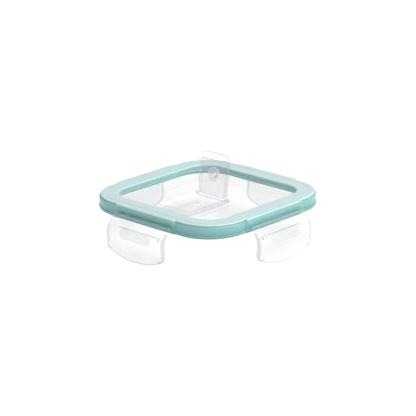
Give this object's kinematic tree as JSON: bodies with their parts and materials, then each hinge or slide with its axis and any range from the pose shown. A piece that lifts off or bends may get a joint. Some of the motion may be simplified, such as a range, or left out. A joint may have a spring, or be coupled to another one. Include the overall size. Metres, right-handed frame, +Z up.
{
  "type": "food container lid",
  "caption": "Square clip-on lid for a glass food box: coloured rim, clear recessed panel, sealing ring, hinged clear side latches and a hinged vent flap.",
  "frame": {"origin": "bottom centre: on the surface that the hanging latches stand on, under the lid's centre", "axes": "+Z up through the lid; -Y towards the side that the shut vent flap points to; X along the vent flap's hinge"},
  "size_m": [0.139, 0.139, 0.057],
  "materials": {
    "rim_plastic": "satin moulded plastic, slightly translucent pale teal",
    "clear_plastic": "clear glossy moulded plastic",
    "latch_plastic": "clear, slightly milky moulded plastic with a frosted thumb pad",
    "seal_silicone": "soft translucent silicone"
  },
  "bodies": {
    "lid": {"rim_frame": "rim_plastic", "lid_panel": "clear_plastic", "seal_gasket": "seal_silicone"},
    "vent_flap": {"vent_flap": "clear_plastic", "vent_plug": "seal_silicone"},
    "latch_front": {"latch_front": "latch_plastic"},
    "latch_right": {"latch_right": "latch_plastic"},
    "latch_back": {"latch_back": "latch_plastic"},
    "latch_left": {"latch_left": "latch_plastic"}
  },
  "joints": [
    {"name": "vent_flap_hinge", "type": "hinge", "parent": "lid", "child": "vent_flap", "pos_m": [0, 0.0047, 0.0273], "axis": [-1, 0, 0], "range_deg": [-97, 0]},
    {"name": "latch_front_hinge", "type": "hinge", "parent": "lid", "child": "latch_front", "pos_m": [0, -0.0618, 0.0266], "axis": [-1, 0, 0], "range_deg": [-25, 100]},
    {"name": "latch_right_hinge", "type": "hinge", "parent": "lid", "child": "latch_right", "pos_m": [0.0618, 0, 0.0266], "axis": [0, -1, 0], "range_deg": [-25, 100]},
    {"name": "latch_back_hinge", "type": "hinge", "parent": "lid", "child": "latch_back", "pos_m": [0, 0.0618, 0.0266], "axis": [1, 0, 0], "range_deg": [-25, 100]},
    {"name": "latch_left_hinge", "type": "hinge", "parent": "lid", "child": "latch_left", "pos_m": [-0.0618, 0, 0.0266], "axis": [0, 1, 0], "range_deg": [-25, 100]}
  ]
}
